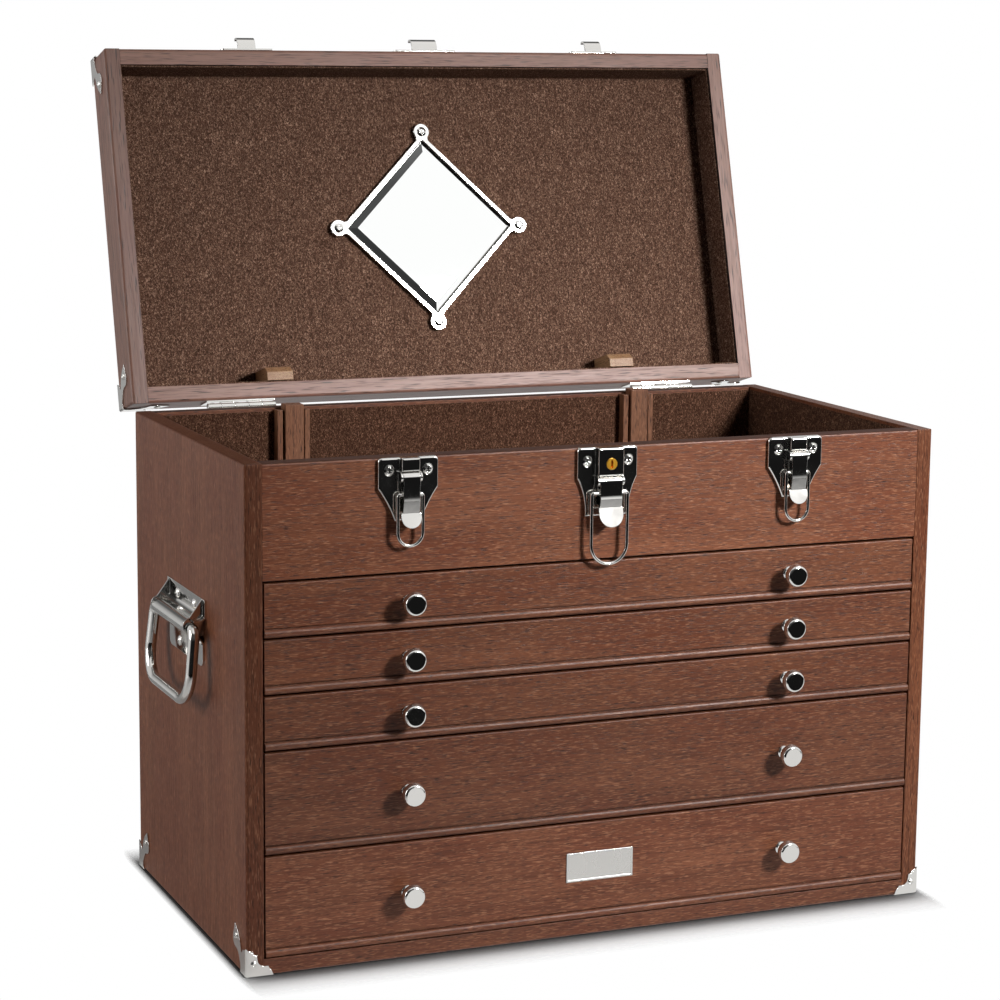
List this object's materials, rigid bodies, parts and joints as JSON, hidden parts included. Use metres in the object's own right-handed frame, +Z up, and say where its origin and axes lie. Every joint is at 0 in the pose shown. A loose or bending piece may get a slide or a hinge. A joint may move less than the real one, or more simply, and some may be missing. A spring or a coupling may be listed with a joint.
{
  "type": "machinist tool chest",
  "caption": "Walnut machinist's tool chest with an open lid, felt-lined till, drawers with round knobs, draw latches, a lock, side handles and corner brackets.",
  "frame": {"origin": "centre of the case's underside", "axes": "+Z up, -Y out of the drawer fronts, +X to the right seen from the front"},
  "size_m": [0.5448, 0.3918, 0.6087],
  "materials": {
    "walnut_side": "satin",
    "walnut_front": "satin",
    "walnut_lid": "satin",
    "tray_wood": "matte",
    "bar_wood": "satin",
    "felt_brown": "matte",
    "nickel": "polished",
    "brass": "polished",
    "mirror_glass": "polished"
  },
  "bodies": {
    "case": {"side_left": "walnut_side", "side_right": "walnut_side", "back_panel": "walnut_side", "bottom_panel": "tray_wood", "bottom_rail": "walnut_front", "front_panel": "walnut_front", "till_floor": "tray_wood", "drawer_runners": "tray_wood", "till_lining": "felt_brown", "bar_guides": "bar_wood", "latch_plate_left": "nickel", "latch_plate_right": "nickel", "lock_plate": "nickel", "handle_mount_left": "nickel", "handle_mount_right": "nickel", "case_screws": "nickel", "case_corners": "nickel", "hinge_leaves_case": "nickel", "hinge_pins": "nickel"},
    "lid": {"lid_rail_left": "walnut_lid", "lid_rail_right": "walnut_lid", "lid_rail_front": "walnut_lid", "lid_rail_back": "walnut_lid", "lid_panel": "walnut_lid", "lid_lining": "felt_brown", "lid_blocks": "bar_wood", "mirror_frame": "nickel", "mirror": "mirror_glass", "catches_outer": "nickel", "catch_center": "nickel", "lid_corners": "nickel", "hinge_leaves_lid": "nickel", "lid_screws": "nickel"},
    "lock_bars": {"lock_bars": "bar_wood"},
    "drawer1": {"drawer1_front": "walnut_front", "drawer1_tray": "tray_wood", "drawer1_knobs": "nickel"},
    "drawer2": {"drawer2_front": "walnut_front", "drawer2_tray": "tray_wood", "drawer2_knobs": "nickel"},
    "drawer3": {"drawer3_front": "walnut_front", "drawer3_tray": "tray_wood", "drawer3_knobs": "nickel"},
    "drawer4": {"drawer4_front": "walnut_front", "drawer4_tray": "tray_wood", "drawer4_knobs": "nickel"},
    "drawer5": {"drawer5_front": "walnut_front", "drawer5_tray": "tray_wood", "drawer5_knobs": "nickel", "name_plate": "nickel"},
    "lever_left": {"lever_left": "nickel"},
    "bail_left": {"bail_left": "nickel"},
    "lever_right": {"lever_right": "nickel"},
    "bail_right": {"bail_right": "nickel"},
    "lever_center": {"lever_center": "nickel"},
    "bail_center": {"bail_center": "nickel"},
    "handle_left": {"handle_left": "nickel"},
    "handle_right": {"handle_right": "nickel"},
    "lock_plug": {"lock_plug": "brass"}
  },
  "joints": [
    {"name": "lid_swing", "type": "hinge", "parent": "case", "child": "lid", "pos_m": [0, 0.1368, 0.34115], "axis": [1, 0, 0], "range_deg": [0, 105.5]},
    {"name": "bars_slide", "type": "slide", "parent": "case", "child": "lock_bars", "axis": [0, 0, 1], "range_m": [-0.003, 0]},
    {"name": "drawer1_slide", "type": "slide", "parent": "case", "child": "drawer1", "axis": [0, -1, 0], "range_m": [0, 0.185]},
    {"name": "drawer2_slide", "type": "slide", "parent": "case", "child": "drawer2", "axis": [0, -1, 0], "range_m": [0, 0.185]},
    {"name": "drawer3_slide", "type": "slide", "parent": "case", "child": "drawer3", "axis": [0, -1, 0], "range_m": [0, 0.185]},
    {"name": "drawer4_slide", "type": "slide", "parent": "case", "child": "drawer4", "axis": [0, -1, 0], "range_m": [0, 0.185]},
    {"name": "drawer5_slide", "type": "slide", "parent": "case", "child": "drawer5", "axis": [0, -1, 0], "range_m": [0, 0.185]},
    {"name": "lever_left_swing", "type": "hinge", "parent": "case", "child": "lever_left", "pos_m": [-0.143, -0.1385, 0.3284], "axis": [-1, 0, 0], "range_deg": [0, 75]},
    {"name": "bail_left_swing", "type": "hinge", "parent": "lever_left", "child": "bail_left", "pos_m": [-0.143, -0.1385, 0.3169], "axis": [-1, 0, 0], "range_deg": [0, 90]},
    {"name": "lever_right_swing", "type": "hinge", "parent": "case", "child": "lever_right", "pos_m": [0.143, -0.1385, 0.3284], "axis": [-1, 0, 0], "range_deg": [0, 75]},
    {"name": "bail_right_swing", "type": "hinge", "parent": "lever_right", "child": "bail_right", "pos_m": [0.143, -0.1385, 0.3169], "axis": [-1, 0, 0], "range_deg": [0, 90]},
    {"name": "lever_center_swing", "type": "hinge", "parent": "case", "child": "lever_center", "pos_m": [0, -0.1385, 0.3182], "axis": [-1, 0, 0], "range_deg": [0, 75]},
    {"name": "bail_center_swing", "type": "hinge", "parent": "lever_center", "child": "bail_center", "pos_m": [0, -0.1385, 0.3102], "axis": [-1, 0, 0], "range_deg": [0, 90]},
    {"name": "handle_left_swing", "type": "hinge", "parent": "case", "child": "handle_left", "pos_m": [-0.2632, 0, 0.2165], "axis": [0, 1, 0], "range_deg": [0, 80]},
    {"name": "handle_right_swing", "type": "hinge", "parent": "case", "child": "handle_right", "pos_m": [0.2632, 0, 0.2165], "axis": [0, -1, 0], "range_deg": [0, 80]},
    {"name": "plug_turn", "type": "hinge", "parent": "case", "child": "lock_plug", "pos_m": [0, -0.138, 0.33], "axis": [0, 1, 0], "range_deg": [0, 90]}
  ],
  "couplings": [
    {"joint": "bars_slide", "follows": "lid_swing", "m_per_rad": -0.0016293}
  ]
}
